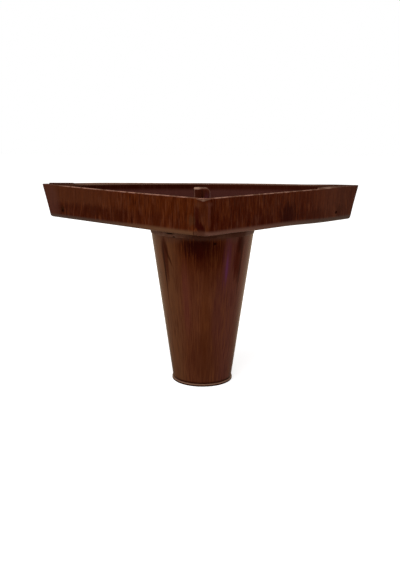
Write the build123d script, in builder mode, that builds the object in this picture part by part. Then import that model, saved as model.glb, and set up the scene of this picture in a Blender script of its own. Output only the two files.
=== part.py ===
from build123d import *
from math import asin, cos, degrees, radians, sin, sqrt, tan
import os

# Corner leg for a sofa: a triangular sheet-steel tray welded on a hollow tapered leg.
# The tray takes the corner of the sofa's base frame. Its right-angled corner points to -Y,
# its long wall runs along X at the back, and the three walls lean outwards. The origin is the
# centre of the foot, on the floor, and +Z is up. All sizes are in millimetres and degrees.

os.makedirs("parts", exist_ok=True)

# Whole leg
rim_height = 120.3  # floor to the tray's rim
sheet = 1.0  # steel sheet of the tray

# Tray
side_length = 161.5  # each front wall along its rim, between sharp corners
wall_height = 22.1  # underside of the tray to its rim
flare = 6.0  # lean of the walls, outwards
corner_radius = 7.5  # front corner, outside
tip_radius = 2.2  # the two acute corners, outside
bend_radius = 1.9  # floor to wall, outside
back_crown = 1.3  # rise of the back wall's rim at its middle
rim_rounding = 0.45  # deburred outer edge of the rim
corner_bevel = 1.4  # drop of the ground bevel at the top of the front corner
bevel_depth = 3.2  # how far back that bevel reaches

# Seams and laps of the folded blank, lengths from the sharp acute corner
seam_width = 0.5
seam_depth = 0.25
left_return = 25.5  # to the butt seam in the left front wall
right_return = 29.3  # to the butt seam in the right front wall
relief_diameter = 2.4  # corner relief near the foot of each of those seams
relief_height = 5.2
left_tab = (8.0, 25.0)  # from and to, tab against the inside of the back wall
left_tab_rise = 1.0  # its edge above the rim
right_tab = (9.0, 55.0)  # from and to, tab against the inside of the right front wall
right_tab_rise = 0.7
tab_foot = 3.0  # underside of the tray to the lower edge of either tab

# Screw holes in the tray's floor
hole_diameter = 5.0
hole_spacing_x = 116.0
hole_spacing_y = 24.0
hole_edge = 11.0  # back fold line to the nearer row of holes

# Tapered leg
leg_top_diameter = 64.8
leg_bottom_diameter = 37.0
leg_sheet = 1.5
fold_margin = 2.6  # leg top to the fold lines of the two front walls
leg_seam_gap = 0.4  # at the top of the seam

# Foot plate
foot_diameter = 38.9
foot_thickness = 1.5
foot_edge = 0.4
spigot_height = 2.5
spigot_clearance = 0.3

# Weld round the top of the leg
weld_width = 0.8
weld_height = 3.0

# Post in the tray
post_width = 11.0
post_depth = 16.0
post_setback = 20.2  # back fold line to the post's back face
post_sheet = 1.0
post_bend = 1.8
post_edge = 0.7  # chamfer round its top
post_slit = 0.9

# Worked out from the sizes above
lean = tan(radians(flare))
tray_z = rim_height - wall_height
floor_top = tray_z + sheet
blank_top = rim_height + back_crown + 1
leg_top_radius = leg_top_diameter / 2
leg_bottom_radius = leg_bottom_diameter / 2
front_fold_y = -sqrt(2) * (leg_top_radius + fold_margin)
rim_corner_y = front_fold_y - sqrt(2) * wall_height * lean
rim_back_y = rim_corner_y + side_length / sqrt(2)
half_width = side_length / sqrt(2)
back_fold_y = rim_back_y - wall_height * lean
post_front = back_fold_y - post_setback - post_depth


def front_wall(side, inset=0.0):
    """Plane of a front wall's outside, or inside it: +x runs along it to the right, +y up the slope.

    side is -1 for the left wall and 1 for the right one. The plane's origin is the sharp
    front corner at the height of the tray's underside.
    """
    outward = Vector(side * cos(radians(flare)), -cos(radians(flare)), -sqrt(2) * sin(radians(flare)))
    return Plane(origin=(0, front_fold_y, tray_z), x_dir=(1, side, 0), z_dir=outward).offset(-inset)


def back_wall(inset=0.0):
    """Plane of the back wall's outside, or inside it: +x runs to the left, +y up the slope."""
    outward = Vector(0, cos(radians(flare)), -sin(radians(flare)))
    return Plane(origin=(0, back_fold_y, tray_z), x_dir=(-1, 0, 0), z_dir=outward).offset(-inset)


def bent_blank(inset):
    """Solid that fills the tray: inset 0 to the outside of its sheet, or the sheet to its inside."""
    with BuildPart() as blank:
        with BuildSketch(Plane.XY.offset(tray_z + inset)):
            Rectangle(3 * half_width, 3 * half_width)
        extrude(amount=blank_top - tray_z - inset)
        for wall in (front_wall(-1, inset), front_wall(1, inset), back_wall(inset)):
            split(bisect_by=wall, keep=Keep.BOTTOM)
        for axis, end, radius in ((Axis.Y, 0, corner_radius), (Axis.X, 0, tip_radius), (Axis.X, -1, tip_radius)):
            upright = blank.edges().filter_by(lambda e: abs(e.tangent_at(0.5).Z) > 0.5)
            fillet(upright.sort_by(axis)[end], radius=radius - inset)
        fillet(blank.faces().sort_by(Axis.Z)[0].edges(), radius=bend_radius - inset)
    return blank.part


def front_wall_tip(height):
    """Distance, along a front wall's plane, from its origin to the sharp acute corner at a height."""
    return side_length - (2 + sqrt(2)) * (wall_height - height) * lean - height * lean


def back_wall_tip(height):
    """Distance, along the back wall's plane, from its middle to a sharp acute corner at a height."""
    return half_width - (1 + sqrt(2)) * (wall_height - height) * lean


def tab_outline(tip, reach, rise):
    """Corners of a tab on a wall's plane: its ends follow the acute corner's slope."""
    top = wall_height + rise
    start, end = reach
    spots = ((tab_foot, start), (top, start), (top, end), (tab_foot, end))
    return [(tip(height) - run, height / cos(radians(flare))) for height, run in spots]


tray_outside = bent_blank(0)
tray_inside = bent_blank(sheet)

with BuildPart() as tray:
    # One blank: floor and three leaning walls, open at the top
    add(tray_outside)
    add(tray_inside, mode=Mode.SUBTRACT)

    # Rim: level along the two front walls, a little crowned along the back wall
    above = blank_top + 1
    beyond = 1.5 * half_width
    crown_end = half_width - 3 * tip_radius
    behind_posts = rim_back_y - 3 * sheet
    with BuildSketch(Plane.XZ.offset(-behind_posts)):
        with Locations((0, rim_height)):
            Rectangle(2 * beyond, above - rim_height, align=(Align.CENTER, Align.MIN))
    extrude(amount=2 * side_length, mode=Mode.SUBTRACT)
    with BuildSketch(Plane.XZ.offset(-behind_posts)):
        with BuildLine():
            ThreePointArc((-crown_end, rim_height), (0, rim_height + back_crown), (crown_end, rim_height))
            Polyline((crown_end, rim_height), (beyond, rim_height), (beyond, above),
                     (-beyond, above), (-beyond, rim_height), (-crown_end, rim_height))
        make_face()
    extrude(amount=-side_length, mode=Mode.SUBTRACT)
    outer_rim = tray.edges().filter_by(
        lambda e: e.center().Z > rim_height - 0.01 and tray_inside.distance_to(e @ 0.5) > 0.75 * sheet
    )
    fillet(outer_rim, radius=rim_rounding)

    # Bevel ground on the top of the front corner
    corner_y = rim_corner_y + (sqrt(2) - 1) * corner_radius
    with BuildSketch(Plane.YZ):
        with BuildLine():
            Polyline((corner_y - bevel_depth, rim_height - 2 * corner_bevel), (corner_y, rim_height - corner_bevel),
                     (corner_y + bevel_depth, rim_height), (corner_y + bevel_depth, above),
                     (corner_y - bevel_depth, above), close=True)
        make_face()
    extrude(amount=2 * corner_radius, both=True, mode=Mode.SUBTRACT)

    # Welded seam up the left side of the front corner, ground to a shallow groove
    with BuildSketch(front_wall(-1)):
        with BuildLine():
            lower, upper = -bend_radius, wall_height + back_crown
            Polyline([(-run + height * lean, height / cos(radians(flare)))
                      for run, height in ((corner_radius, lower), (corner_radius + seam_width, lower),
                                          (corner_radius + seam_width, upper), (corner_radius, upper))], close=True)
        make_face()
    extrude(amount=-seam_depth, mode=Mode.SUBTRACT)

    # Butt seam where each front wall meets the return of the back wall, open at its foot
    for side, length in ((-1, left_return), (1, right_return)):
        seam_x = side * (front_wall_tip(wall_height) - length)
        with BuildSketch(front_wall(side)):
            with Locations((seam_x, bend_radius)):
                Rectangle(seam_width, 2 * wall_height, align=(Align.CENTER, Align.MIN))
        extrude(amount=-seam_depth, mode=Mode.SUBTRACT)
        with BuildSketch(front_wall(side)):
            with Locations((seam_x, relief_height)):
                Circle(relief_diameter / 2)
        extrude(amount=-2 * sheet, mode=Mode.SUBTRACT)

    # Tabs of the neighbouring walls, folded round the acute corners and lapped inside
    with BuildSketch(back_wall(sheet)):
        with BuildLine():
            Polyline(tab_outline(back_wall_tip, left_tab, left_tab_rise), close=True)
        make_face()
    extrude(amount=-sheet)
    with BuildSketch(front_wall(1, sheet)):
        with BuildLine():
            Polyline(tab_outline(front_wall_tip, right_tab, right_tab_rise), close=True)
        make_face()
    extrude(amount=-sheet)

    # Screw holes for the sofa's frame
    with Locations((0, back_fold_y - hole_edge - hole_spacing_y / 2, floor_top)):
        with GridLocations(hole_spacing_x, hole_spacing_y, 2, 2):
            Hole(hole_diameter / 2, depth=sheet)
tray.part.label = "tray"
export_step(tray.part, "parts/tray.step")

with BuildPart() as leg:
    # Rolled taper, open at both ends; its edges meet in a narrow butt seam at the back
    gap = 2 * degrees(asin(leg_seam_gap / 2 / leg_top_radius))
    with BuildSketch(Plane.XZ.rotated((0, 0, 90 + gap / 2))):
        with BuildLine():
            Polyline((leg_bottom_radius, foot_thickness), (leg_top_radius, tray_z),
                     (leg_top_radius - leg_sheet, tray_z), (leg_bottom_radius - leg_sheet, foot_thickness),
                     close=True)
        make_face()
    revolve(axis=Axis.Z, revolution_arc=360 - gap)
leg.part.label = "tapered_leg"
export_step(leg.part, "parts/tapered_leg.step")

with BuildPart() as foot:
    # Disc under the leg, with a spigot that centres it in the bore
    Cylinder(foot_diameter / 2, foot_thickness, align=(Align.CENTER, Align.CENTER, Align.MIN))
    chamfer(foot.edges(), length=foot_edge)
    with Locations((0, 0, foot_thickness)):
        Cylinder(leg_bottom_radius - leg_sheet - spigot_clearance, spigot_height,
                 align=(Align.CENTER, Align.CENTER, Align.MIN))
foot.part.label = "foot_plate"
export_step(foot.part, "parts/foot_plate.step")

with BuildPart() as weld:
    # Ground bead in the angle between the leg and the tray's underside
    run_in = weld_height * (leg_top_radius - leg_bottom_radius) / (tray_z - foot_thickness)
    with BuildSketch(Plane.XZ):
        with BuildLine():
            Polyline((leg_top_radius, tray_z), (leg_top_radius + weld_width, tray_z),
                     (leg_top_radius - run_in, tray_z - weld_height), close=True)
        make_face()
    revolve(axis=Axis.Z)
weld.part.label = "leg_weld"
export_step(weld.part, "parts/leg_weld.step")

with BuildPart() as post:
    # Sheet folded to a box, closed at the top, its two edges meeting at the front
    with BuildSketch(Plane.XY.offset(floor_top)):
        with Locations((0, post_front)):
            RectangleRounded(post_width, post_depth, post_bend, align=(Align.CENTER, Align.MIN))
    extrude(amount=rim_height - floor_top)
    chamfer(post.faces().sort_by(Axis.Z)[-1].edges(), length=post_edge)
    with BuildSketch(Plane.XY.offset(floor_top)):
        with Locations((0, post_front + post_sheet)):
            RectangleRounded(post_width - 2 * post_sheet, post_depth - 2 * post_sheet, post_bend - post_sheet,
                             align=(Align.CENTER, Align.MIN))
    extrude(amount=rim_height - post_sheet - floor_top, mode=Mode.SUBTRACT)
    with BuildSketch(Plane.XY.offset(floor_top)):
        with Locations((0, post_front - post_sheet / 2)):
            Rectangle(post_slit, 2 * post_sheet, align=(Align.CENTER, Align.MIN))
    extrude(amount=rim_height - floor_top - post_bend - post_sheet, mode=Mode.SUBTRACT)
post.part.label = "centre_post"
export_step(post.part, "parts/centre_post.step")

print("tray at z", tray_z, "half width", round(half_width, 2), "corner y", round(rim_corner_y, 2),
      "back y", round(rim_back_y, 2))
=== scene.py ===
# %% [markdown]
# # A corner leg for a sofa, in wood-grain painted steel
# The object is a shallow triangular tray, folded from sheet steel, on a hollow tapered leg.
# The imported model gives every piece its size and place. This script dresses the pieces: sheet
# that is a little wavy, a lumpy weld, and a printed wood grain under gloss lacquer.

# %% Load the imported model
import math

import bmesh
import bpy
import numpy as np
from mathutils import Matrix, Vector, noise


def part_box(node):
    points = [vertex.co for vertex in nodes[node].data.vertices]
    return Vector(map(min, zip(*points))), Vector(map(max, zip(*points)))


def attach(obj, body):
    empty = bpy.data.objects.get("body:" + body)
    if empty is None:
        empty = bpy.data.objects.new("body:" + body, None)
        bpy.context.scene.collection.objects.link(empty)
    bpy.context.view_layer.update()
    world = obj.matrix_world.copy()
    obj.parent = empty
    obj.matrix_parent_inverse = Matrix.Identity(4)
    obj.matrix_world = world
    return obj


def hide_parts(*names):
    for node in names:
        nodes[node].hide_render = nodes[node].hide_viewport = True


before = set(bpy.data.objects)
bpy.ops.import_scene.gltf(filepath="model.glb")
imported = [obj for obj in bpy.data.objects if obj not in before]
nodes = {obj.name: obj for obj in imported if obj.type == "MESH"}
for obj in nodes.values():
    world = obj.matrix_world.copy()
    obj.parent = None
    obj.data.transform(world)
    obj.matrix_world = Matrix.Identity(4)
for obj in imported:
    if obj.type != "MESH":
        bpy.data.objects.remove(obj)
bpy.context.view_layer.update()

MM = 0.001
print("pieces:", sorted(nodes))

# %% [markdown]
# ## Sizes
# Lengths are in millimetres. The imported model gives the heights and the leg's sizes. The sheet,
# the lean of the walls and the bends are the same sizes as in the part's own source. The right
# end of the tray's floor sags a little, and its finish and its shape both follow that.

# %% Read the sizes
tray_box = [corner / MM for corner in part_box("tray")]
leg_box = [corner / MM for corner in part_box("tapered_leg")]
foot_box = [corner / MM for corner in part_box("foot_plate")]
post_box = [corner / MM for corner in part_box("centre_post")]
tray_z = tray_box[0].z
rim_height = post_box[1].z
wall_height = rim_height - tray_z
sheet = 1.0
flare = math.radians(6.0)
lean = math.tan(flare)
bend_radius = 1.9
corner_radius = 7.5
tip_radius = 2.2
side_length = 161.5
fold_margin = 2.6
back_crown = tray_box[1].z - rim_height
crown_end = 107.5
leg_top_radius = leg_box[1].x
front_fold = leg_top_radius + fold_margin
half_width = side_length / math.sqrt(2)
back_fold = half_width - math.sqrt(2) * (front_fold + wall_height * lean) - wall_height * lean
sag_depth, sag_start, sag_full = 1.05, 48.0, 86.0
print("tray from", round(tray_z, 2), "to", round(rim_height, 2))
print("fold lines at", round(front_fold, 2), "in front and", round(back_fold, 2), "at the back")

# %% [markdown]
# ## Turn rows of points into a piece
# Most pieces here are skins of rows and columns: each row is a closed loop of points, and
# neighbouring rows are joined by quads. One helper does that, in millimetres, and sends the
# result to the body that carries it.


# %% Make a piece from loops of points
def skin(name, loops):
    """A closed mesh through loops of equal length, given from the underside outwards and up, in mm."""
    count = len(loops[0])
    points = np.concatenate(loops) * MM
    faces = []
    for row in range(len(loops) - 1):
        low, high = row * count, (row + 1) * count
        for i in range(count):
            j = (i + 1) % count
            faces.append((low + i, low + j, high + j, high + i))
    faces.append(tuple(reversed(range(count))))
    faces.append(tuple(range(len(points) - count, len(points))))
    mesh = bpy.data.meshes.new(name)
    mesh.from_pydata([tuple(p) for p in points], [], faces)
    mesh.validate()
    piece = bpy.data.objects.new(name, mesh)
    bpy.context.scene.collection.objects.link(piece)
    return piece


def shade(piece, angle=35.0):
    """Smooth shading that keeps edges sharper than `angle` degrees."""
    piece.data.shade_smooth()
    piece.data.set_sharp_from_angle(angle=math.radians(angle))


def hand_over(piece, node, material):
    """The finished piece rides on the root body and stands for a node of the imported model."""
    piece.data.materials.clear()
    piece.data.materials.append(material)
    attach(piece, "root")
    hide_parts(node)
    print(piece.name, len(piece.data.polygons), "faces")


# %% [markdown]
# ## Colours
# Colours are picked as they look on a screen, in hex. Blender mixes light in linear values, so
# one function turns the one into the other.


# %% Turn a hex colour to linear
def linear(hex_colour):
    """Linear RGBA of an sRGB hex colour such as '#46230f'."""
    parts = [int(hex_colour[i:i + 2], 16) / 255 for i in (1, 3, 5)]
    return [c / 12.92 if c <= 0.04045 else ((c + 0.055) / 1.055) ** 2.4 for c in parts] + [1.0]


# %% [markdown]
# ## One helper for nodes
# A material is a small graph, and one function adds each of its nodes. Values fill the inputs
# that the node shows, from the top down. A hex string is a colour, and another node or one of
# its outputs is linked. The functions after it are runs of nodes that several finishes share.


# %% Add a node
MENUS = {"Math": "operation", "VectorMath": "operation", "Mix": "data_type",
         "MapRange": "interpolation_type", "Mapping": "vector_type", "TexNoise": "noise_dimensions"}


def add_node(tree, kind, *values, inputs={}):
    """Adds a node. "Math ADD" is a node and the choice in its menu; `inputs` are values by name."""
    kind, _, choice = kind.partition(" ")
    node = tree.nodes.new(kind if "Node" in kind else "ShaderNode" + kind)
    if choice:
        setattr(node, MENUS[kind], choice)
    shown = [socket for socket in node.inputs if socket.enabled]
    for socket, value in [*zip(shown, values), *((node.inputs[name], inputs[name]) for name in inputs)]:
        if isinstance(value, bpy.types.Node):
            value = next(output for output in value.outputs if output.enabled)
        if isinstance(value, bpy.types.NodeSocket):
            tree.links.new(value, socket)
        else:
            socket.default_value = linear(value) if isinstance(value, str) else value
    return node


def new_material(name):
    """A material and its empty graph."""
    material = bpy.data.materials.new(name)
    material.use_nodes = True
    material.node_tree.nodes.clear()
    return material, material.node_tree


def fade(tree, value, low, high, before, after):
    """Colour that turns from `before` to `after` while the value runs from low to high."""
    share = add_node(tree, "MapRange SMOOTHSTEP", value, low, high)
    return add_node(tree, "Mix RGBA", share, before, after)


def noise_value(tree, place, size, detail=2.0, roughness=0.5, stretch=(1, 1, 1), offset=(0, 0, 0)):
    """Soft noise about 0.5. `size` is one blob in mm, and `stretch` makes it longer along an axis."""
    scale = [1 / (size * MM * s) for s in stretch]
    moved = add_node(tree, "Mapping POINT", place, offset, (0, 0, 0), scale)
    return add_node(tree, "TexNoise 3D", moved, 1.0, detail, roughness)


# %% [markdown]
# ## Marks in the paint
# Welding, grinding and thin lacquer leave marks at real places. A mark is a soft oval round a
# point, given with its half sizes in millimetres and a tilt in degrees. Its edge is made uneven
# by the grain. A list of marks is laid over a colour one after the other.


# %% Lay soft marks over a colour
def mark(tree, place, centre, half_sizes, tilt, ragged, grain):
    """1 inside a soft oval at `centre`, 0 outside. `ragged` mixes the grain into its edge."""
    inside = add_node(tree, "Mapping TEXTURE", place, [c * MM for c in centre],
                      (0, math.radians(tilt), 0), [h * MM for h in half_sizes])
    away = add_node(tree, "Math MULTIPLY_ADD", grain, ragged, add_node(tree, "VectorMath LENGTH", inside))
    return add_node(tree, "MapRange SMOOTHSTEP", away, 0.4, 1.15, 1.0, 0.0)


def lay_marks(tree, place, colour, grain, marks):
    """Each mark is (centre, half sizes, tilt, ragged edge, hex colour, strength)."""
    for centre, half_sizes, tilt, ragged, hex_colour, strength in marks:
        patch = mark(tree, place, centre, half_sizes, tilt, ragged, grain)
        patch = add_node(tree, "Math MULTIPLY", patch, strength)
        colour = add_node(tree, "Mix RGBA", patch, colour, hex_colour)
    return colour


# %% [markdown]
# ## Lacquer over a wood print
# The real finish is a transfer print of wood on primed steel, under clear lacquer. The eye sees
# fine dark and light streaks that run up the walls and a thin gloss. A streak is about half a
# millimetre wide and 1 to 2 cm long. The lacquer's IOR starts from 1.5 and is brought down until
# the deep brown stays as deep as on the object, and its reflection is tinted warm by the print
# under it.


# %% Make the wood print
print_tint = "#ff9a50"
peel_size, peel_height = 1.6, 0.03


def wood_grain(tree, place, streak, length=18, broad=1.2):
    """Streaks of the print, about -0.5 to 0.5. One is `streak` mm wide and `length` times as long,
    and `broad` is the strength of the broad ones among them."""
    fine = noise_value(tree, place, streak, 3.0, 0.65, (1, 1, length))
    wide = noise_value(tree, place, streak * 4.0, 2.0, 0.5, (1, 1, 7), (3.1, 7.7, 1.3))
    grain = add_node(tree, "Math MULTIPLY", add_node(tree, "Math SUBTRACT", fine, 0.5), 2.2)
    return add_node(tree, "Math MULTIPLY_ADD", add_node(tree, "Math SUBTRACT", wide, 0.5), broad, grain)


def print_streaks(tree, colour, grain, dark, light, contrast):
    """Streaks darker and lighter than the colour under them."""
    strong = add_node(tree, "Math MULTIPLY", grain, contrast)
    colour = add_node(tree, "Mix RGBA", add_node(tree, "Math MULTIPLY", strong, -1.0), colour, dark)
    return add_node(tree, "Mix RGBA", strong, colour, light)


def lacquer(tree, colour, place, grain, ior, roughness):
    """Gloss lacquer with a little orange peel, a little duller where a streak is raised."""
    peel = noise_value(tree, place, peel_size)
    height = add_node(tree, "Math MULTIPLY_ADD", grain, 0.25, peel)
    bump = add_node(tree, "Bump", 0.25, peel_height * MM, inputs={"Height": height})
    dull = add_node(tree, "Math MULTIPLY_ADD", grain, 0.08, roughness)
    shader = add_node(tree, "BsdfPrincipled", inputs={
        "Base Color": colour, "Roughness": dull, "IOR": ior, "Specular Tint": print_tint, "Normal": bump})
    add_node(tree, "OutputMaterial", shader)


def object_place(tree):
    """Object coordinates, and their x, y and z."""
    place = add_node(tree, "TexCoord").outputs["Object"]
    axis = add_node(tree, "SeparateXYZ", place)
    return place, axis.outputs[0], axis.outputs[1], axis.outputs[2]


def choose(tree, when, a, b):
    """Number a where `when` is 0 and b where it is 1."""
    return add_node(tree, "Math MULTIPLY_ADD", when, add_node(tree, "Math SUBTRACT", b, a), a)


def on_back_wall(tree, y, z):
    """1 on the back wall, inside and out, and 0 elsewhere."""
    slid = add_node(tree, "Math MULTIPLY_ADD", add_node(tree, "Math SUBTRACT", z, tray_z * MM), -lean, y)
    return add_node(tree, "Math GREATER_THAN", slid, (back_fold - 2.4) * MM)


def along_walls(tree, x, y, z):
    """Coordinates for the print: the distance along a wall, which wall it is, and the height. On the
    floor they are x and y."""
    side = add_node(tree, "Math SIGN", add_node(tree, "Math SUBTRACT", x, weld_line * MM))
    front = add_node(tree, "Math MULTIPLY_ADD", x, side, y)
    front = add_node(tree, "Math MULTIPLY", front, math.sqrt(0.5))
    on_back = on_back_wall(tree, y, z)
    on_floor = add_node(tree, "Math LESS_THAN", z, (tray_z + 1.1) * MM)
    along = choose(tree, add_node(tree, "Math MAXIMUM", on_back, on_floor), front, x)
    up = choose(tree, on_floor, z, y)
    upright = add_node(tree, "Math MULTIPLY_ADD", up, choose(tree, on_back, streak_slant, 0.0), along)
    apart = add_node(tree, "Math MULTIPLY", side, print_apart * MM)
    apart = choose(tree, on_back, apart, 2 * print_apart * MM)
    apart = choose(tree, on_floor, apart, 3 * print_apart * MM)
    return add_node(tree, "CombineXYZ", upright, apart, up)


# %% [markdown]
# ## The tray's outside
# The print is redder low on each wall. Its upper half is painted browner and hazier, a painted
# reflection over the print. The right wall is painted a little darker than the left, as painted
# shade. The bend to the floor is painted paler, a painted reflection of the pale floor. The strip
# over the corner weld was filled and painted by hand, so it has darker patches of its own and a
# dark line on each side. Its lighter patches, and the ground facet under the rim, are painted
# highlights of the rounded corner.

# %% Finish the tray's outside
floor_bend_top = tray_z + 1.6
wall_middle = tray_z + 10.6
weld_line = -6.3
streak_slant = 0.13
print_apart = 100
tray_marks = [
    ((-104, 54, 110), (9, 14, 18), 0, 0.2, "#4c281f", 0.7),  # painted reflection over the left end
    ((-70, 19.5, 105.5), (11, 12, 5), 0, 0.8, "#330a00", 0.6),  # darker patches low on the walls
    ((-53, 2.8, 104), (7, 9, 5), 0, 0.8, "#350c00", 0.5),
    ((-28, -22.6, 107), (7, 8, 9), 0, 0.9, "#3a1002", 0.5),
    ((-94.9, 44.4, 104.7), (2.2, 2.6, 3.0), 0, 0.6, "#280c00", 0.8),  # relief and butt seam
    ((-7.8, -43.0, 106.6), (2.6, 3.5, 4.5), 25, 1.5, "#573620", 0.45),  # painted highlight on the rounded corner
    ((54, 4, 106), (11, 12, 9), 0, 0.8, "#260000", 0.8),
    ((38, -12, 106), (8, 9, 8), 0, 0.9, "#330600", 0.5),
    ((76, 24, 103.0), (18, 20, 5), 0, 0.5, "#320800", 0.5),
    ((95.0, 44.6, 104.6), (3.4, 3.8, 4.8), 0, 0.6, "#330e04", 0.6),
    ((weld_line, -47, 105), (0.5, 4, 9), 0, 0.3, "#240400", 0.8),  # line along the weld
    # On the corner strip, the lighter patches are painted highlights of the rounded corner.
    ((3.8, -47, 110), (0.9, 4, 13), 0, 0.4, "#330900", 0.75),
    ((2.1, -47, 112.5), (0.9, 4, 8), 0, 0.9, "#552a22", 0.5),
    ((-4.8, -47, 111.5), (1.6, 4, 6), 0, 0.6, "#360b04", 0.8),
    ((-3.6, -47, 103.8), (3.4, 4, 4), 0, 1.0, "#2c0403", 0.85),
    ((1.8, -47, 106), (1.6, 4, 4), 0, 0.8, "#4c2418", 0.6),
    ((-3.8, -47, 116.4), (2.8, 4, 2.0), 0, 0.8, "#512a18", 0.6),
    ((2.0, -47, 116.6), (2.2, 4, 1.6), 0, 0.8, "#512c20", 0.6),
    ((-0.9, -48, 119.8), (3.4, 4, 1.1), 0, 0.4, "#553a2c", 0.8),  # painted highlight on the ground facet under the rim
    ((-3.8, -47, 119.5), (3.4, 5, 0.45), 18, 0.3, "#684838", 0.8),
    ((1.8, -47, 119.6), (3.0, 5, 0.45), -20, 0.3, "#684838", 0.8),
    ((-1.1, -48, 118.9), (1.3, 4, 0.6), 0, 0.3, "#7c5c4c", 0.8),
]
bend_marks = [
    ((-3.5, -47, 99), (5, 8, 3.5), 0, 0.3, "#46251a", 0.7),  # darker by the weld
    ((weld_line, -47, 100), (0.5, 8, 1.8), 0, 0.2, "#2c0a02", 0.8),
]


def tray_outside_finish():
    """Wood print on the outside of the tray, with the marks of folding and welding, and painted
    reflections, shade and highlights.
    """
    material, tree = new_material("lacquered_print_on_tray")
    place, x, y, z = object_place(tree)
    walls = along_walls(tree, x, y, z)
    grain = wood_grain(tree, walls, 0.5, 14)
    # The upper half of each wall is painted lighter, a painted reflection, and lighter still towards the
    # right end. The right wall is painted a little darker than the left: painted shade.
    left_upper = fade(tree, x, -75 * MM, -40 * MM, "#4a200d", "#4a1a03")
    left_lower = fade(tree, x, -52 * MM, -30 * MM, "#3a0e01", "#461704")
    edge = add_node(tree, "Math MULTIPLY_ADD", grain, 1.6 * MM, z)
    left = fade(tree, edge, (wall_middle - 2.2) * MM, (wall_middle + 2.2) * MM, left_lower, left_upper)
    right = fade(tree, edge, (wall_middle - 5) * MM, (wall_middle + 5) * MM, "#3c0b00", "#421202")
    right = fade(tree, x, 62 * MM, 90 * MM, right, "#4a2012")
    right = fade(tree, x, 90 * MM, 98 * MM, right, "#3f180e")
    colour = fade(tree, x, -7 * MM, -5 * MM, left, right)
    colour = add_node(tree, "Mix RGBA", on_back_wall(tree, y, z), colour, "#451809")
    corner = mark(tree, place, (-1.2, -47, 108), (6.0, 5, 30), 0, 0.1, grain)
    colour = add_node(tree, "Mix RGBA", corner, colour, "#431b0c")
    # The streaks are calmer away from the corner, most of all in the upper half, under a painted
    # reflection, and calmer on the corner strip.
    far = add_node(tree, "MapRange SMOOTHSTEP", add_node(tree, "Math ABSOLUTE", x), 40 * MM, 80 * MM)
    reflection_haze = add_node(tree, "MapRange SMOOTHSTEP", z, wall_middle * MM, (wall_middle + 4) * MM)
    reflection_haze = add_node(tree, "Math MULTIPLY", far, reflection_haze)
    calm_corner = add_node(tree, "Math MULTIPLY", corner, 0.6)
    calm = add_node(tree, "Math MAXIMUM", add_node(tree, "Math MULTIPLY", far, 0.45), calm_corner)
    calm = add_node(tree, "Math MAXIMUM", reflection_haze, calm)
    contrast = add_node(tree, "MapRange SMOOTHSTEP", calm, 0.0, 1.0, 1.8, 0.8)
    colour = print_streaks(tree, colour, grain, "#2a0600", "#602e12", contrast)
    pores = noise_value(tree, walls, 0.5, 1.0, 0.5, (1, 1, 20), (7.7, 2.2, 5.1))
    pores = add_node(tree, "MapRange SMOOTHSTEP", pores, 0.56, 0.7)
    pores = add_node(tree, "Math MULTIPLY", pores, add_node(tree, "Math MULTIPLY", contrast, 0.2))
    colour = add_node(tree, "Mix RGBA", pores, colour, "#6c4230")
    colour = lay_marks(tree, place, colour, grain, tray_marks)
    # The bend to the floor is painted paler: a painted reflection of the pale floor. Its mask follows the
    # sag of the floor.
    near = fade(tree, x, -8 * MM, 2 * MM, "#62402b", "#644236")
    painted_sheen = fade(tree, add_node(tree, "Math ABSOLUTE", x), 25 * MM, 85 * MM, near, "#4a3830")
    sag = add_node(tree, "MapRange SMOOTHSTEP", x, sag_start * MM, sag_full * MM, 0.0, 0.9 * MM)
    left_sag = add_node(tree, "MapRange SMOOTHSTEP", x, -60 * MM, -30 * MM, 0.6 * MM, 0.0)
    sagged = add_node(tree, "Math ADD", add_node(tree, "Math ADD", z, sag), left_sag)
    bend_start, bend_end = floor_bend_top * MM, (floor_bend_top + 2.4) * MM
    bend = add_node(tree, "MapRange SMOOTHSTEP", sagged, bend_start, bend_end, 1.0, 0.0)
    colour = add_node(tree, "Mix RGBA", bend, colour, painted_sheen)
    colour = lay_marks(tree, place, colour, grain, bend_marks)
    lacquer(tree, colour, place, grain, 1.1, 0.3)
    return material


# %% [markdown]
# ## The tray's inside, its rim and the post
# Inside, the print is thin and even. It is painted dark red just under the rim and a duller
# mauve further down, a painted reflection. The rim is painted pale, a painted highlight where
# the rounded cut edge catches the light, and the post has painted highlights too.

# %% Finish the inside, the rim and the post
post_marks = [
    ((0.0, 22, 110), (0.5, 3, 11), 0, 0.2, "#240500", 0.8),  # where the two edges meet
    # painted highlights down the post's two front edges
    ((-5.3, 22.5, 112), (0.7, 3, 12), 0, 0.1, "#80584a", 0.9),
    ((5.2, 22.5, 112), (0.8, 3, 12), 0, 0.1, "#7c5650", 0.9),
    ((3.0, 22, 110), (2.6, 3, 9), 0, 0.3, "#532630", 0.75),
]
end_marks = [
    ((78, 26, 120.5), (22, 24, 4), 0, 0.4, "#583628", 0.6),  # weaker painted highlight and reflection towards the right end
    ((-97.5, 60.0, 121.4), (10, 4, 1.9), 0, 0.2, "#35201a", 0.9),  # the left tab, dark on top
    ((102, 51, 120.5), (24, 27, 3.5), 0, 0.2, "#44241a", 0.85),  # painted highlight of the rim fading at both ends
    ((-105, 56, 120.5), (25, 27, 4), 0, 0.2, "#452419", 0.9),
    ((83, 33, 121), (6, 7, 1.4), 0, 0.3, "#8c6c5c", 0.8),  # painted highlight on the right tab, where it starts
]


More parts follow.
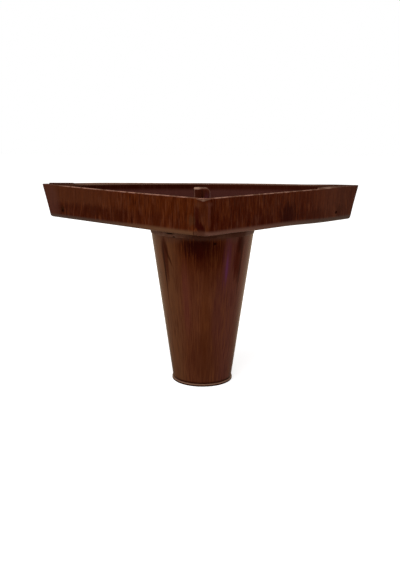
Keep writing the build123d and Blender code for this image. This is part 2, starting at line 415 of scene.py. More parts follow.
def tray_inside_finish():
    """Thin print inside the tray, darker than outside, with a painted reflection and a painted highlight
    along the rim.
    """
    material, tree = new_material("thin_print_and_painted_reflection_inside_tray")
    place, x, y, z = object_place(tree)
    grain = wood_grain(tree, along_walls(tree, x, y, z), 0.8)
    along = add_node(tree, "Math POWER", add_node(tree, "Math DIVIDE", x, crown_end * MM), 2.0)
    rim_line = add_node(tree, "Math MULTIPLY_ADD", along, -back_crown * MM, tray_box[1].z * MM)
    below = add_node(tree, "Math SUBTRACT", rim_line, z)
    # A painted reflection: dark red just under the rim, paler mauve further down.
    under_rim = fade(tree, x, -10 * MM, 10 * MM, "#300c03", "#3e150a")
    colour = fade(tree, below, 3.0 * MM, 6.0 * MM, under_rim, "#542d27")
    colour = print_streaks(tree, colour, grain, "#2a0a06", "#6a4438", 0.2)
    # A painted highlight along the rim's inner rounded edge.
    by_rim = add_node(tree, "MapRange SMOOTHSTEP", below, 0.5 * MM, 1.3 * MM, 1.0, 0.0)
    colour = add_node(tree, "Mix RGBA", by_rim, colour, "#806250")
    colour = lay_marks(tree, place, colour, grain, end_marks)
    lacquer(tree, colour, place, grain, 1.1, 0.4)
    return material


def rim_finish():
    """Painted highlight along the rounded cut edge of the sheet, uneven along its length."""
    material, tree = new_material("painted_highlight_on_cut_edge")
    place, x, y, z = object_place(tree)
    grain = wood_grain(tree, along_walls(tree, x, y, z), 0.8)
    # The painted highlight is uneven along the rim: paler where this noise is high.
    painted_sheen = noise_value(tree, place, 6.0, 2.0)
    colour = fade(tree, painted_sheen, 0.4, 0.6, "#5c3626", "#926758")
    colour = print_streaks(tree, colour, grain, "#5a3424", "#a07a68", 0.5)
    colour = lay_marks(tree, place, colour, grain, end_marks)
    lacquer(tree, colour, place, grain, 1.15, 0.35)
    return material


def post_finish():
    """Thin print on the post inside the tray, with painted highlights along its front edges and top."""
    material, tree = new_material("thin_print_on_post")
    place, x, y, z = object_place(tree)
    grain = wood_grain(tree, place, 1.4)
    colour = print_streaks(tree, "#481d11", grain, "#341408", "#5a3428", 0.9)
    colour = lay_marks(tree, place, colour, grain, post_marks)
    # A painted highlight on the top of the post, brighter and reaching a little lower on the left.
    highlight_on_left = add_node(tree, "MapRange SMOOTHSTEP", x, -3.0 * MM, 0.0, 1.0, 0.0)
    pale = add_node(tree, "Mix RGBA", highlight_on_left, "#55322a", "#90705f")
    raised = add_node(tree, "Math MULTIPLY_ADD", highlight_on_left, 0.3 * MM, z)
    top = [(rim_height - below) * MM for below in (0.25, 0.05)]
    top = add_node(tree, "MapRange SMOOTHSTEP", raised, *top)
    colour = add_node(tree, "Mix RGBA", top, colour, pale)
    lacquer(tree, colour, place, grain, 1.1, 0.5)
    return material


# %% [markdown]
# ## The leg and the weld
# The leg was printed round its axis. Its marks are placed by the angle from the front and the
# height, on the leg unrolled flat: x runs along an arc at the leg's middle and z is the height.
# The dark red under the tray is the tray's painted shadow, with the painted reflection of its
# dark underside, and grinding left the print greyish to both sides. The leg is also painted
# darker towards its top, as shade under the tray, and the light bands and dark streaks down its
# sides are painted reflections.

# %% Finish the leg and the weld
leg_middle_radius = (foot_box[1].x + leg_top_radius) / 2
leg_mark_depth = 9


def on_leg(rows):
    """Marks on the unrolled leg. A row is the angle from the front, to the right, and the height,
    the half width and half height, then tilt, ragged edge, hex colour and strength."""
    return [((math.radians(degrees) * leg_middle_radius, 0, height), (wide, leg_mark_depth, tall), *looks)
            for degrees, height, wide, tall, *looks in rows]


leg_marks = on_leg([
    (-23, 58, 3.0, 26, 0, 0.5, "#5a2a22", 0.5),  # faint broad bands of the print
    (2, 40, 4.0, 34, 0, 0.5, "#52270f", 0.5),
    (20, 45, 4.0, 34, 0, 0.5, "#4a2220", 0.4),
    (-4, 20, 15, 20, 0, 0.4, "#431d0e", 0.5),
    (-42, 95, 11, 4.0, 0, 0.6, "#502e1f", 0.7),  # ground beside the weld
    (42, 95, 9, 3.5, 0, 0.6, "#4e2e24", 0.65),
    (-4, 90.5, 11, 8, 0, 1.1, "#240504", 0.92),  # painted shadow of the tray, with the painted reflection of its dark underside
    (0, 83.5, 8, 8.5, 0, 1.5, "#330a04", 0.5),
    (16, 86, 6, 9, 0, 1.2, "#340c05", 0.5),
    (9, 86, 5, 7, 0, 1.2, "#2a0501", 0.4),
    (2, 95.9, 26, 2.3, 0, 0.9, "#452a20", 0.55),  # overspray under the weld
    (-49, 82, 2.2, 17, 0, 0.5, "#380f03", 0.8),  # dark streaks down the sides, painted reflections
    (-50.5, 86, 3.0, 9, 0, 0.6, "#3a1206", 0.75),
    (-52, 76, 0.8, 20, 0, 0.4, "#260800", 0.85),
    (-44.5, 84, 0.8, 9, -20, 0.4, "#2c0c00", 0.75),
    (44, 82, 3.4, 18, 0, 0.7, "#3a0900", 0.85),
    (49, 76, 0.9, 20, 0, 0.4, "#2a0500", 0.7),
    (46, 91, 3.2, 7, 0, 0.5, "#280300", 0.8),
    (-47, 89.5, 1.5, 6.5, -15, 0.5, "#300c02", 0.65),
    (28, 80, 2.8, 20, 0, 0.6, "#502434", 0.45),  # painted bluish reflection
    (28, 77, 0.9, 10, 0, 0.5, "#5c2c50", 0.5),
    (11.5, 92.2, 1.0, 1.0, 0, 0.1, "#150200", 0.9),  # pit
])
weld_marks = on_leg([
    (-38.5, 97.5, 3.0, 0.6, 0, 0.1, "#120300", 0.85),  # gap in the bead
    (-33, 95.6, 0.8, 0.8, 0, 0.1, "#180400", 0.9),
    (-2, 96.0, 10, 2.5, 0, 0.6, "#30130b", 0.7),
    (40, 96.8, 8, 3.0, 0, 0.4, "#3a180e", 0.6),
])


def unrolled_place(tree):
    """Coordinates on the unrolled leg, and the angle from the front in degrees."""
    place, x, y, z = object_place(tree)
    angle = add_node(tree, "Math ARCTAN2", x, add_node(tree, "Math MULTIPLY", y, -1.0))
    arc = add_node(tree, "Math MULTIPLY", angle, leg_middle_radius * MM)
    flat = add_node(tree, "CombineXYZ", arc, 0.0, z)
    return flat, add_node(tree, "Math DEGREES", angle), z


def leg_finish():
    """Wood print round the leg, with the marks of the weld above it, the tray's painted shadow and
    painted reflections.
    """
    material, tree = new_material("lacquered_print_on_leg")
    place, angle, z = unrolled_place(tree)
    grain = wood_grain(tree, place, 0.7, 22, 0.55)
    # The leg is painted darker towards its top, as shade under the tray. The tan on its left and the
    # mauve on its right are painted reflections along its sides.
    colour = fade(tree, z, 55 * MM, 88 * MM, "#542b1b", "#451a08")
    off_front = add_node(tree, "Math ABSOLUTE", angle)
    in_front = add_node(tree, "MapRange SMOOTHSTEP", off_front, 75, 130, 1.0, 0.0)
    golden = add_node(tree, "MapRange SMOOTHSTEP", angle, -45, -20, 0.8, 0.0)
    mauve = add_node(tree, "MapRange SMOOTHSTEP", angle, 15, 40, 0.0, 0.6)
    for side, hex_colour in ((golden, "#5c3822"), (mauve, "#562c27")):
        side = add_node(tree, "Math MULTIPLY", in_front, side)
        colour = add_node(tree, "Mix RGBA", side, colour, hex_colour)
    contrast = add_node(tree, "MapRange SMOOTHSTEP", z, 50 * MM, 85 * MM, 1.5, 0.95)
    colour = print_streaks(tree, colour, grain, "#381004", "#68391c", contrast)
    colour = lay_marks(tree, place, colour, grain, leg_marks)
    # On the foot's rolled lip: a painted highlight, with painted shade in the groove above it and on its
    # side below.
    lip = fade(tree, z, 0.9 * MM, 1.1 * MM, "#2c0f06", "#80604e")
    lip = fade(tree, z, 1.5 * MM, 1.6 * MM, lip, "#300f05")
    colour = fade(tree, z, 1.9 * MM, 3.4 * MM, lip, colour)
    lacquer(tree, colour, place, grain, 1.22, 0.22)
    return material


def weld_finish():
    """Print over a ground weld bead."""
    material, tree = new_material("lacquered_print_on_weld")
    place, angle, z = unrolled_place(tree)
    grain = wood_grain(tree, place, 1.4)
    lumps = noise_value(tree, place, 2.2, 3.0, 0.6)
    colour = fade(tree, lumps, 0.35, 0.65, "#553426", "#5e4032")
    colour = fade(tree, angle, -35, 0, colour, "#4c2e22")
    colour = fade(tree, angle, 48, 56, colour, "#5c4036")
    colour = lay_marks(tree, place, colour, grain, weld_marks)
    lacquer(tree, colour, place, lumps, 1.15, 0.4)
    return material


tray_materials = [tray_outside_finish(), tray_inside_finish(), rim_finish()]
leg_lacquer = leg_finish()
weld_lacquer = weld_finish()
post_lacquer = post_finish()
print("finishes:", [m.name for m in tray_materials + [leg_lacquer, weld_lacquer, post_lacquer]])

# %% [markdown]
# ## The tray's outline
# The real tray is one blank of 1 mm sheet. Its floor is flat, its three walls are bent up and
# lean outwards, and its corners are rounded. It is drawn as one skin, with a loop round the
# object for each point of the sheet's profile: from the underside up the outside, over the rim
# and down the inside. Each loop is three arcs joined by three straight runs.

# %% Draw one loop round the tray
arc_steps = 14
wall_columns = 110
back_columns = 150
seam_columns = (1.9, 1.65, 1.4, 1.15)
OUTSIDE, INSIDE, EDGE = 0, 1, 2


def sharp_corners(front, back):
    """Front, right and left corners of the outline whose walls lie that far from the leg's axis."""
    right = Vector((math.sqrt(2) * front + back, back))
    return Vector((0, -math.sqrt(2) * front)), right, Vector((-right.x, right.y))


def outline(out, high):
    """Points and outward directions of a loop `out` mm outside the fold lines, `high` mm above the
    underside."""
    out, high = float(out), float(high)
    off_wall = out - high * lean
    arcs = []
    for index, (radius, start, sweep) in enumerate(
            ((corner_radius, -135, 90), (tip_radius, -45, 135), (tip_radius, 90, 135))):
        bend = max(radius + off_wall, 0.35)
        centre = sharp_corners(front_fold + out - bend, back_fold + out - bend)[index]
        angles = [math.radians(start + sweep * k / arc_steps) for k in range(arc_steps + 1)]
        directions = [Vector((math.cos(a), math.sin(a))) for a in angles]
        arcs.append([(centre + bend * d, d) for d in directions])
    points = []
    for index, columns in enumerate((wall_columns, back_columns, wall_columns)):
        points += arcs[index]
        (start, direction), end = arcs[index][-1], arcs[(index + 1) % 3][0][0]
        kept = 1 - (seam_columns[0] + 0.5) / (end - start).length if index == 2 else 1
        shares = [kept * k / columns for k in range(1, columns)]
        if index == 2:
            shares += [1 - s / (end - start).length for s in seam_columns]
        points += [(start.lerp(end, share), direction) for share in shares]
    return points


loop_size = len(outline(0, 0))
print("points in a loop of the tray:", loop_size)

# %% [markdown]
# ## The sheet's profile
# The bend between floor and wall is an arc, tangent to both. The rim was deburred, so its two
# edges are small arcs too.

# %% List the points of the profile
bend_steps = 7
wall_rows = 26
outer_round = 0.45
inner_round = 0.22
turn = math.pi / 2 - flare
tangent = bend_radius * math.tan(turn / 2)


def arc_profile(centre, radius, first, last, steps):
    """Points of an arc in the profile, at angles from straight out."""
    return [(centre[0] + radius * math.cos(a), centre[1] + radius * math.sin(a))
            for a in np.linspace(first, last, steps)]


def rim_arc(offset, radius, outer):
    """Rounded edge of the rim on the face that lies `offset` inside the wall's outside."""
    high = wall_height - radius
    face = high * lean - offset / math.cos(flare)
    if outer:
        return arc_profile((face - radius / math.cos(flare), high), radius, -flare, math.pi / 2, 5)
    return arc_profile((face + radius, high), radius, math.pi / 2, math.pi, 4)


bend_out = arc_profile((-tangent, bend_radius), bend_radius, -math.pi / 2, -flare, bend_steps)
bend_in = arc_profile((-tangent, bend_radius), bend_radius - sheet, -flare, -math.pi / 2, bend_steps)
rim_out = rim_arc(0, outer_round, True)
rim_in = rim_arc(sheet, inner_round, False)
rise_out = [tuple(p) for p in np.linspace(bend_out[-1], rim_out[0], wall_rows)[1:-1]]
rise_in = [tuple(p) for p in np.linspace(rim_in[-1], bend_in[0], wall_rows)[1:-1]]
floor_steps = [22.0, 15.0, 9.0, 5.0, 2.0]
under = [(-tangent - step, 0.0) for step in floor_steps]
over = [(-tangent - step, sheet) for step in reversed(floor_steps)]
profile = ([(p, OUTSIDE) for p in under + bend_out + rise_out] + [(p, EDGE) for p in rim_out + rim_in]
           + [(p, INSIDE) for p in rise_in + bend_in + over])
print("points in the sheet's profile:", len(profile))

# %% [markdown]
# ## What the hand of the maker left
# Thin sheet is never quite flat: each wall has waves of a fifth of a millimetre. The back
# wall's rim is a little higher in its middle, and both ends of the rim rise by half a
# millimetre. The right end of the floor sags by a millimetre, and the bend under the front
# corner is blunter than the others. The corner's weld was ground down under the rim, which left
# a small facet in the shape of a V, and a fine groove is left along the weld.

# %% Move each point of the tray
left_rise, left_front_rise, right_rise = 0.55, 0.4, 0.45
left_rise_zone, right_rise_zone = (15, 80), (70, 100)
left_front_zone, left_tip_zone = (45, 95), (95, 105)
blunt_rise, blunt_middle, blunt_reach = 0.55, 6.0, 26.0
facet_depth, facet_reach, facet_height, facet_middle = 0.75, 7.0, 5.0, -0.6
ground_drop, facet_start = 0.15, 0.75
groove_depth = 0.22
wave_depth, wave_length, ripple_length, ripple_share = 0.22, 26.0, 7.0, 0.12


def eased(value, low, high):
    """0 below low and 1 above high, eased between them."""
    t = max(0.0, min(1.0, (value - low) / (high - low)))
    return t * t * (3 - 2 * t)


def hand_made(point, direction, out, high, surface, column):
    """The place of one point of the tray, in mm, after the wear of making."""
    share = max(0.0, min(1.0, high / wall_height))
    rise = left_front_rise * eased(-point.x, *left_front_zone)
    rise += (left_rise - left_front_rise) * eased(-point.x, *left_tip_zone)
    if direction.y > 0.9:
        crown = back_crown * max(0.0, 1 - (point.x / crown_end) ** 2)
        rise = left_rise * eased(-point.x, *left_rise_zone) + crown
    rise += right_rise * eased(point.x, *right_rise_zone)
    lift = min(rise, back_crown) * share
    by_corner = max(0.0, 1 - (abs(point.x - blunt_middle) / blunt_reach) ** 2) if point.y < 0 else 0.0
    lift += blunt_rise * by_corner * (1 - share) * max(0.0, 1 + min(0.0, out + tangent) / floor_steps[-1])
    on_floor = max(0.0, 1 + min(0.0, out + tangent) / floor_steps[0])
    lift -= sag_depth * eased(point.x, sag_start, sag_full) * (1 - share) * on_floor
    spot = Vector((point.x, point.y, high))
    wave = 0.5 + 0.5 * noise.noise(spot / wave_length) + ripple_share * noise.noise(spot / ripple_length)
    inward = wave_depth * max(0.0, min(1.0, wave)) * math.sin(math.pi * min(1.0, share * 0.9 + 0.05))
    on_wall = out > wall_height * lean - facet_start - (wall_height - high) * lean
    if point.y < 0 and surface != INSIDE and on_wall:
        ground = 1 - (wall_height - high) / facet_height - abs(point.x - facet_middle) / facet_reach
        inward += facet_depth * max(0.0, ground)
        lift -= ground_drop * max(0.0, ground)
    if surface == OUTSIDE and high > 0.5 and loop_size - column in (2, 1, 3):
        inward += groove_depth * (1.0 if loop_size - column == 2 else 0.5)
    spread = lift * lean * share if direction.y > 0.9 else 0.0
    return (point.x + direction.x * (spread - inward), point.y + direction.y * (spread - inward),
            tray_z + high + lift)


tray_loops = []
for (out, high), surface in profile:
    tray_loops.append(np.array([hand_made(p, d, out, high, surface, column)
                                for column, (p, d) in enumerate(outline(out, high))]))
tray = skin("tray_sheet", tray_loops)
for finish in tray_materials:
    tray.data.materials.append(finish)
surface_of_row = [surface for _, surface in profile]
for face in tray.data.polygons:
    lowest, highest = min(face.vertices) // loop_size, max(face.vertices) // loop_size
    face.material_index = surface_of_row[lowest if surface_of_row[highest] == EDGE else highest]
print("tray sheet:", len(tray.data.polygons), "faces")

# %% [markdown]
# ## Tabs and holes
# Two tabs of the blank are folded round the acute corners and lie against the inside of the
# next wall. Each is a flat plate with softened edges, and stands a little above the rim. The
# screw holes in the floor and the two reliefs at the seams are cut with a boolean, which is
# the plainest way to make a clean round hole in a skin.

# %% Add the tabs
left_tab = (8.0, 25.0, 1.25)
right_tab = (9.0, 52.4, 0.7)
tab_foot = 3.0
front_corner = -math.sqrt(2) * front_fold


def front_wall_spot(side, along, high, inset):
    """Point of a front wall's plane: `along` from the front corner, `inset` to the inside."""
    level = Vector((side * along / math.sqrt(2), front_corner + along / math.sqrt(2), 0))
    outwards = Vector((side, -1, 0)).normalized()
    return level + outwards * (high * lean - inset / math.cos(flare)) + Vector((0, 0, tray_z + high))


def back_wall_spot(along, high, inset):
    """Point of the back wall's plane: `along` from its middle to the left."""
    return Vector((-along, back_fold + high * lean - inset / math.cos(flare), tray_z + high))


def plate(name, spot, starts, ends, heights, inset):
    """A plate of the sheet's thickness: its corners are spot(along, height, inset)."""
    (low, high), corners = heights, []
    for depth in (inset, inset + sheet):
        corners += [spot(starts[0], low, depth), spot(ends[0], low, depth),
                    spot(ends[1], high, depth), spot(starts[1], high, depth)]
    form = bmesh.new()
    points = [form.verts.new(c * MM) for c in corners]
    for face in ((0, 1, 2, 3), (7, 6, 5, 4), (0, 4, 5, 1), (1, 5, 6, 2), (2, 6, 7, 3), (3, 7, 4, 0)):
        form.faces.new([points[i] for i in face])
    bmesh.ops.bevel(form, geom=form.edges[:], offset=0.2 * MM, segments=2, affect="EDGES", profile=0.5)
    bmesh.ops.recalc_face_normals(form, faces=form.faces)
    mesh = bpy.data.meshes.new(name)
    form.to_mesh(mesh)
    form.free()
    return mesh


def wall_end(high):
    """Sharp acute corner along a front wall at a height."""
    return side_length - (2 + math.sqrt(2)) * (wall_height - high) * lean - high * lean


def back_end(high):
    """Sharp acute corner along the back wall at a height."""
    return half_width - (1 + math.sqrt(2)) * (wall_height - high) * lean


def add_tab(name, tip, spot, size):
    """A tab from size[0] to size[1] mm off the sharp corner, size[2] above the rim."""
    low, high = tab_foot, wall_height + size[2]
    return plate(name, spot, (tip(low) - size[1], tip(high) - size[1]),
                 (tip(low) - size[0], tip(high) - size[0]), (low, high), sheet + 0.02)


tab_meshes = [add_tab("left_tab", back_end, back_wall_spot, left_tab),
              add_tab("right_tab", wall_end, lambda a, h, i: front_wall_spot(1, a, h, i), right_tab)]
print("tabs:", [len(m.polygons) for m in tab_meshes])

# %% Cut the holes
hole_spacing = (116.0, 24.0)
hole_edge = 11.0
hole_radius = 2.5
relief_radius = 1.2
relief_height = 5.2
returns = {-1: 25.5, 1: 29.3}
seam_along = {side: side_length - length - wall_height * lean for side, length in returns.items()}


def add_cutter(form, centre, direction, radius, length):
    """A round bar in a bmesh, in mm, that will be taken away."""
    turned = direction.to_track_quat("Z", "Y").to_matrix().to_4x4()
    bmesh.ops.create_cone(form, cap_ends=True, segments=40, radius1=radius * MM, radius2=radius * MM,
                          depth=length * MM, matrix=Matrix.Translation(centre * MM) @ turned)


cutters = bmesh.new()
hole_rows = back_fold - hole_edge - hole_spacing[1] / 2
for x in (-hole_spacing[0] / 2, hole_spacing[0] / 2):
    for y in (hole_rows - hole_spacing[1] / 2, hole_rows + hole_spacing[1] / 2):
        add_cutter(cutters, Vector((x, y, tray_z + sheet / 2)), Vector((0, 0, 1)), hole_radius, 4 * sheet)
for side, along in seam_along.items():
    outwards = Vector((side * math.cos(flare), -math.cos(flare), -math.sqrt(2) * math.sin(flare)))
    centre = front_wall_spot(side, along, relief_height, sheet / 2)
    add_cutter(cutters, centre, outwards.normalized(), relief_radius, 3 * sheet)
cutter_mesh = bpy.data.meshes.new("hole_cutters")
cutters.to_mesh(cutter_mesh)
cutters.free()
cutter = bpy.data.objects.new("hole_cutters", cutter_mesh)
bpy.context.scene.collection.objects.link(cutter)
cut = tray.modifiers.new("holes", "BOOLEAN")
cut.object, cut.operation, cut.solver = cutter, "DIFFERENCE", "EXACT"
bpy.context.view_layer.update()
drilled = bpy.data.meshes.new_from_object(tray.evaluated_get(bpy.context.evaluated_depsgraph_get()))
tray.modifiers.clear()
bpy.data.objects.remove(cutter)

whole = bmesh.new()
whole.from_mesh(drilled)
for mesh in tab_meshes:
    before = len(whole.faces)
    whole.from_mesh(mesh)
    whole.faces.ensure_lookup_table()
    for face in whole.faces[before:]:
        face.material_index = EDGE if face.calc_area() < 1e-5 else INSIDE
whole.to_mesh(drilled)
whole.free()
tray.data = drilled
print("finishes kept by the boolean:", [m.name for m in drilled.materials])
shade(tray, 32)
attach(tray, "root")
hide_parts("tray")
print("tray:", len(drilled.polygons), "faces, seams at", {k: round(v, 1) for k, v in seam_along.items()})

# %% [markdown]
# ## The leg, by Geometry Nodes
# The real leg is a rolled cone of 1.5 mm steel. Its shape follows one rule: a radius that grows
# evenly with height. A grid is bent round that rule by nodes, so its sizes stay named inputs.
# A little noise in the radius gives the soft dents that a rolled and hammered cone has.


# %% Start a node tree for a shape
def shape_tree(name, inputs):
    """A Geometry Nodes tree with named float inputs, and the sockets that carry them."""
    tree = bpy.data.node_groups.new(name, "GeometryNodeTree")
    tree.interface.new_socket("Geometry", in_out="OUTPUT", socket_type="NodeSocketGeometry")
    for title, value in inputs.items():
        kind = "NodeSocketMaterial" if isinstance(value, bpy.types.Material) else "NodeSocketFloat"
        tree.interface.new_socket(title, in_out="INPUT", socket_type=kind)
    given = tree.nodes.new("NodeGroupInput")
    return tree, {title: given.outputs[title] for title in inputs}


def close_tree(tree, geometry, material):
    """Ends a tree in Realize Instances and Set Material."""
    real = add_node(tree, "GeometryNodeRealizeInstances", geometry)
    painted = add_node(tree, "GeometryNodeSetMaterial", real, inputs={"Material": material})
    add_node(tree, "NodeGroupOutput", painted)


def grow(name, tree, inputs):
    """Runs a tree on an empty object and keeps the result as a plain mesh."""
    piece = bpy.data.objects.new(name, bpy.data.meshes.new(name))
    bpy.context.scene.collection.objects.link(piece)
    modifier = piece.modifiers.new("shape", "NODES")
    modifier.node_group = tree
    for item in tree.interface.items_tree:
        if item.in_out == "INPUT":
            modifier[item.identifier] = inputs[item.name]
    bpy.context.view_layer.update()
    mesh = bpy.data.meshes.new_from_object(piece.evaluated_get(bpy.context.evaluated_depsgraph_get()))
    piece.modifiers.clear()
    piece.data = mesh
    return piece


# %% Make the leg
top_shift = -0.3
leg_sizes = {
    "Bottom radius": (foot_box[1].x - 0.6) * MM, "Top radius": leg_top_radius * MM,
    "Bottom height": leg_box[0].z * MM, "Top height": tray_z * MM,
    "Dent": 0.12 * MM, "Dent width": 14.0 * MM, "Shift": top_shift * MM, "Seam depth": 0.3 * MM,
    "Seam width": 0.5 * MM, "Seed": 3.0, "Finish": leg_lacquer}
tree, given = shape_tree("rolled_cone", leg_sizes)
columns, rows = 360, 72
grid = add_node(tree, "GeometryNodeMeshGrid", 1.0, 1.0, columns + 1, rows + 1)
on_grid = add_node(tree, "SeparateXYZ", add_node(tree, "GeometryNodeInputPosition"))
angle = add_node(tree, "Math MULTIPLY", on_grid.outputs[0], 2 * math.pi)
share = add_node(tree, "Math ADD", on_grid.outputs[1], 0.5)
wider = add_node(tree, "Math SUBTRACT", given["Top radius"], given["Bottom radius"])
straight = add_node(tree, "Math MULTIPLY_ADD", share, wider, given["Bottom radius"])
taller = add_node(tree, "Math SUBTRACT", given["Top height"], given["Bottom height"])
height = add_node(tree, "Math MULTIPLY_ADD", share, taller, given["Bottom height"])
from_front = add_node(tree, "Math SINE", angle)
to_front = add_node(tree, "Math MULTIPLY", add_node(tree, "Math COSINE", angle), -1.0)
on_cone = add_node(tree, "CombineXYZ", add_node(tree, "Math MULTIPLY", from_front, straight),
                   add_node(tree, "Math MULTIPLY", to_front, straight), height)
dents_per_metre = add_node(tree, "Math DIVIDE", 1.0, given["Dent width"])
dents = add_node(tree, "TexNoise 4D", on_cone, given["Seed"], dents_per_metre, 1.0)
to_seam = add_node(tree, "Math SUBTRACT", math.pi, add_node(tree, "Math ABSOLUTE", angle))
off_seam = add_node(tree, "Math MULTIPLY", to_seam, straight)
seam = add_node(tree, "MapRange SMOOTHSTEP", off_seam, 0.0, given["Seam width"], 1.0, 0.0)
seam = add_node(tree, "Math MULTIPLY", seam, given["Seam depth"])
sunk = add_node(tree, "Math MULTIPLY_ADD", dents, given["Dent"], seam)
radius = add_node(tree, "Math SUBTRACT", straight, sunk)
shift = add_node(tree, "Math MULTIPLY", given["Shift"], share)
place = add_node(tree, "CombineXYZ", add_node(tree, "Math MULTIPLY_ADD", from_front, radius, shift),
                 add_node(tree, "Math MULTIPLY", to_front, radius), height)
bent = add_node(tree, "GeometryNodeSetPosition", grid, inputs={"Position": place})
closed = add_node(tree, "GeometryNodeMergeByDistance", bent, inputs={"Distance": 0.001 * MM})
close_tree(tree, closed, given["Finish"])
leg = grow("rolled_leg", tree, leg_sizes)
shade(leg, 60)
hand_over(leg, "tapered_leg", leg_lacquer)

# %% [markdown]
# ## The weld, by Geometry Nodes
# A weld bead follows a path: the circle where the leg meets the tray. It is laid as a run of
# overlapping drops and then ground, so a flat oval tube is swept along the circle, and it
# swells and narrows with noise.

# %% Lay the weld
weld_sizes = {
    "Ring radius": (leg_top_radius - 0.15) * MM, "Ring height": (tray_z - 1.3) * MM, "Bead": 1.5 * MM,
    "Flatness": 0.14, "Shift": top_shift * MM, "Ripple": 0.5, "Ripple width": 2.4 * MM,
    "Seed": 5.0, "Finish": weld_lacquer}
tree, given = shape_tree("weld_bead", weld_sizes)
ring = add_node(tree, "GeometryNodeCurvePrimitiveCircle", 300, given["Ring radius"])
lift = add_node(tree, "CombineXYZ", given["Shift"], 0.0, given["Ring height"])
raised = add_node(tree, "GeometryNodeTransform", ring, inputs={"Translation": lift})
drops_per_metre = add_node(tree, "Math DIVIDE", 1.0, given["Ripple width"])
on_ring = add_node(tree, "GeometryNodeInputPosition")
drops = add_node(tree, "TexNoise 4D", on_ring, given["Seed"], drops_per_metre, 2.0)
drops = add_node(tree, "Math SUBTRACT", drops, 0.5)
swell = add_node(tree, "Math MULTIPLY_ADD", drops, given["Ripple"], 0.8)
swollen = add_node(tree, "GeometryNodeSetCurveRadius", raised, inputs={"Radius": swell})
section = add_node(tree, "GeometryNodeCurvePrimitiveCircle", 14, given["Bead"])
ground = add_node(tree, "CombineXYZ", given["Flatness"], 1.0, 1.0)
oval = add_node(tree, "GeometryNodeTransform", section, inputs={"Scale": ground})
bead = add_node(tree, "GeometryNodeCurveToMesh", swollen, oval)
close_tree(tree, bead, given["Finish"])
weld = grow("weld_bead", tree, weld_sizes)
shade(weld, 80)
hand_over(weld, "leg_weld", weld_lacquer)

# %% [markdown]
# ## The foot plate
# The foot is a pressed disc a little wider than the leg's end. The top of its lip is rolled, so
# it catches a thin line of light; that line is also a painted highlight, with painted shade above
# and below it. It is a skin of circles.

# %% Turn the foot
foot_radius = foot_box[1].x
foot_thickness = leg_box[0].z
foot_rise = foot_thickness / 1.5
foot_profile = [(foot_radius - inset, high) for inset, high in (
    (3.0, 0.0), (0.25, 0.0), (0.08, 0.06), (0.0, 0.2), (0.0, 0.95), (0.06, 1.18), (0.22, 1.38),
    (0.45, 1.47), (0.7, 1.5), (2.6, 1.5))]


def circle(radius, height, count=160):
    """A level loop round the leg's axis."""
    return np.array([(radius * math.sin(a), -radius * math.cos(a), height)
                     for a in np.linspace(0, 2 * math.pi, count, endpoint=False)])


foot = skin("foot_disc", [circle(r, z * foot_rise) for r, z in foot_profile])
shade(foot, 50)
hand_over(foot, "foot_plate", leg_lacquer)

# %% [markdown]
# ## The post inside the tray
# The post is folded from sheet, with its two edges meeting in the middle of its front. It is a
# skin of rounded rectangles that draw in at the top, with a sunk column where the edges meet.

# %% Fold the post
post_bend = 1.8
post_top_round = 0.8
slit_half, slit_depth = 0.35, 0.6
torn_height = 2.4
post_foot, post_top = post_box[0].z, post_box[1].z


def post_loop(inset, height):
    """A level rounded rectangle, its slit sunk, counterclockwise from the middle of the front."""
    (left, front), (right, back) = post_box[0].xy, post_box[1].xy
    torn = max(0.0, height - (post_top - torn_height)) * 0.8
    left, right, front, back = left + inset, right - inset - torn, front + inset, back - inset
    bend = max(post_bend - inset, 0.4)
    points = [(0, front + slit_depth), (slit_half, front + slit_depth), (slit_half + 0.15, front + 0.1),
              (slit_half + 0.4, front)]
    for x, y, start in ((right - bend, front + bend, -90), (right - bend, back - bend, 0),
                        (left + bend, back - bend, 90), (left + bend, front + bend, 180)):
        angles = [math.radians(start + 15 * k) for k in range(7)]
        points += [(x + bend * math.cos(a), y + bend * math.sin(a)) for a in angles]
    points += [(-slit_half - 0.4, front), (-slit_half - 0.15, front + 0.1),
               (-slit_half, front + slit_depth)]
    return np.array([(x, y, height) for x, y in points])


post_rows = [(0.0, post_foot + k * (post_top - post_top_round - post_foot) / 24) for k in range(25)]
post_rows += [(post_top_round * (1 - math.cos(a)), post_top - post_top_round * (1 - math.sin(a)))
              for a in np.linspace(0.3, math.pi / 2, 5)]
post = skin("folded_post", [post_loop(inset, height) for inset, height in post_rows])
shade(post, 40)
hand_over(post, "centre_post", post_lacquer)

# %% [markdown]
# ## Camera
# The photograph was taken from a little above the rim, looking down. The lens and the place
# were worked out from the outline of the object and are kept as real lengths and angles.

# %% Place the camera
camera_distance = 423.34 * MM
camera_side = -1.68 * MM
camera_height = 151.64 * MM
camera_pitch = 0.2106
camera_roll = 0.0052
camera_orbit = -0.0204
focal_pixels = 680.71
frame_long_side = 570
sensor_mm = 36.0

camera_data = bpy.data.cameras.new("camera")
camera_data.sensor_width = sensor_mm
camera_data.lens = focal_pixels * sensor_mm / frame_long_side
camera = bpy.data.objects.new("camera", camera_data)
bpy.context.scene.collection.objects.link(camera)
around = Matrix.Rotation(camera_orbit, 4, "Z")
tilt = Matrix.Rotation(math.pi / 2 - camera_pitch, 4, "X")
roll = Matrix.Rotation(camera_roll, 4, "Z")
where = Matrix.Translation((camera_side, -camera_distance, camera_height))
camera.matrix_world = around @ where @ tilt @ roll
bpy.context.scene.camera = camera
print("lens", round(camera_data.lens, 2), "mm")

# %% [markdown]
# ## Floor and background
# The floor is a pale plane that takes a soft shadow. The camera sees a little light added to
# it, so that it runs out to white. Gloss sees it bright behind the object and dim in front,
# where the dark side of a studio is.

# %% Lay the floor
gloss_colour = "#edd3b3"
gloss_left, gloss_right = 0.65, 0.88


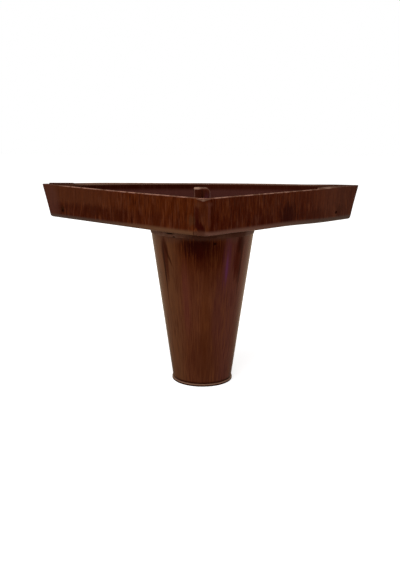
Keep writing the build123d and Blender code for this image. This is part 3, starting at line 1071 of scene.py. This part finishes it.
def gloss_strength(tree, place, behind, reach):
    """Light that gloss sees. `behind` is (start, end, light in front) along y, `reach` is along x."""
    start, end, dim = behind
    behind = add_node(tree, "MapRange SMOOTHSTEP", place.outputs["Y"], start, end, dim, 1.0)
    x = place.outputs["X"]
    sides = add_node(tree, "MapRange SMOOTHSTEP", x, -reach, reach, gloss_left, gloss_right)
    return add_node(tree, "Math MULTIPLY", behind, sides)


def in_gloss(tree, path):
    """1 for a ray that was mirrored or went through glass."""
    rays = [path.outputs[f"Is {kind} Ray"] for kind in ("Glossy", "Transmission")]
    return add_node(tree, "Math MAXIMUM", *rays)


reach = 6.0
floor_mesh = bpy.data.meshes.new("floor")
floor_corners = [(-reach, -reach, 0), (reach, -reach, 0), (reach, reach, 0), (-reach, reach, 0)]
floor_mesh.from_pydata(floor_corners, [], [(0, 1, 2, 3)])
floor = bpy.data.objects.new("floor", floor_mesh)
bpy.context.scene.collection.objects.link(floor)
floor_paint, tree = new_material("pale_floor")
paint = add_node(tree, "BsdfDiffuse", "#f2f1f0")
path = add_node(tree, "LightPath")
lift = add_node(tree, "Math MULTIPLY", path.outputs["Is Camera Ray"], 0.6)
lift = add_node(tree, "Emission", (1, 1, 1, 1), lift)
seen = add_node(tree, "AddShader", paint, lift)
place = add_node(tree, "SeparateXYZ", add_node(tree, "TexCoord").outputs["Object"])
strength = gloss_strength(tree, place, (-0.06, 0.12, 0.08), 0.15)
mirrored = add_node(tree, "Emission", gloss_colour, strength)
add_node(tree, "OutputMaterial", add_node(tree, "MixShader", in_gloss(tree, path), seen, mirrored))
floor.data.materials.append(floor_paint)

# %% [markdown]
# ## Light
# An even white room and one soft box overhead give plain light. The room is white to the
# camera. Gloss sees the room white behind the object and dim in front of it.

# %% Light the object
world = bpy.data.worlds.new("studio")
bpy.context.scene.world = world
world.use_nodes = True
tree = world.node_tree
tree.nodes.clear()
path = add_node(tree, "LightPath")
towards = add_node(tree, "SeparateXYZ", add_node(tree, "TexCoord").outputs["Generated"])
soft = add_node(tree, "Background", "#ffffff", 0.6)
white = add_node(tree, "Background", "#ffffff", 1.0)
room = add_node(tree, "Background", gloss_colour, gloss_strength(tree, towards, (-0.2, 0.6, 0.1), 0.6))
lit = add_node(tree, "MixShader", in_gloss(tree, path), soft, room)
add_node(tree, "OutputWorld", add_node(tree, "MixShader", path.outputs["Is Camera Ray"], lit, white))
print("room and floor:", gloss_colour, "in gloss, from", gloss_left, "on the left to", gloss_right)

# %% Hang the soft box
lamp_place, lamp_aim = Vector((-0.4, -0.5, 1.5)), Vector((0, 0, 0.06))
lamp = bpy.data.lights.new("overhead_soft_box", "AREA")
lamp.size = 1.2
lamp.energy = 14
lamp_holder = bpy.data.objects.new("overhead_soft_box", lamp)
bpy.context.scene.collection.objects.link(lamp_holder)
lamp_holder.location = lamp_place
lamp_holder.rotation_mode = "QUATERNION"
lamp_holder.rotation_quaternion = (lamp_place - lamp_aim).to_track_quat("Z", "Y")
print("lamp", round(lamp_place.length, 2), "m away,", lamp.energy, "W")

# %% Colour handling
bpy.context.scene.view_settings.view_transform = "Standard"
